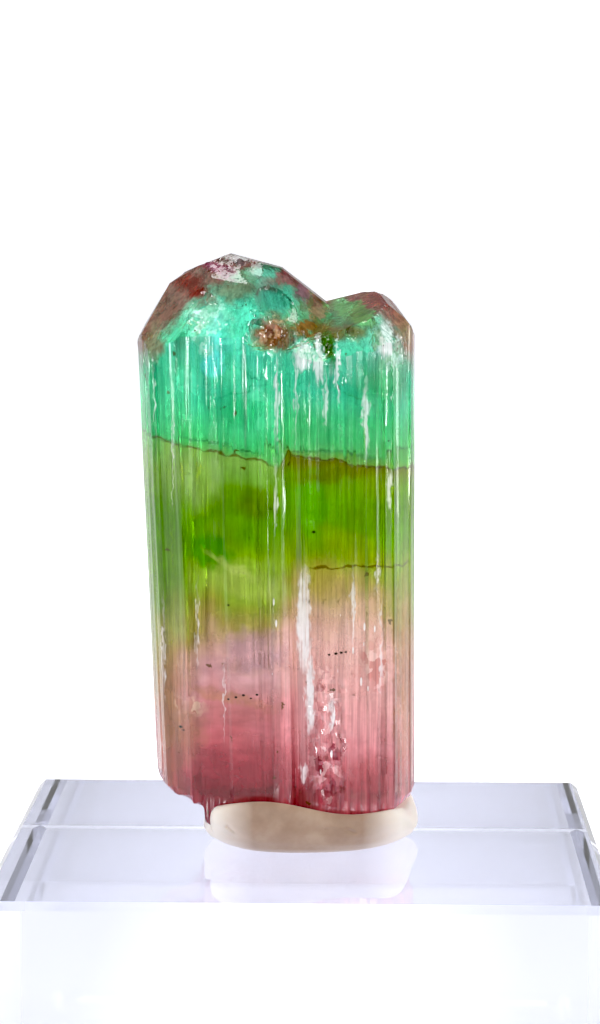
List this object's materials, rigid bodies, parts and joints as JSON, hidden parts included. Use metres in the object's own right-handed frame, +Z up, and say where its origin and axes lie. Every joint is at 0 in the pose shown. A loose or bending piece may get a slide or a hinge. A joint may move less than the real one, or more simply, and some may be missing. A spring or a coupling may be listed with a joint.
{
  "type": "watermelon tourmaline crystal on a clear display block",
  "caption": "Upright intergrown tourmaline prism, teal and green above rose pink, held by a lump of putty on a clear square block.",
  "frame": {"origin": "centre of the block's underside", "axes": "+Z up along the crystal's prism, -Y toward the crystal's front, +X to the right of it"},
  "size_m": [0.04, 0.04, 0.0597],
  "materials": {
    "tourmaline": "vitreous, striated along the prism",
    "mounting_putty": "soft matte putty",
    "clear_block": "polished clear acrylic"
  },
  "bodies": {
    "root": {"tourmaline": "tourmaline", "mounting_putty": "mounting_putty", "clear_block": "clear_block"}
  },
  "joints": []
}
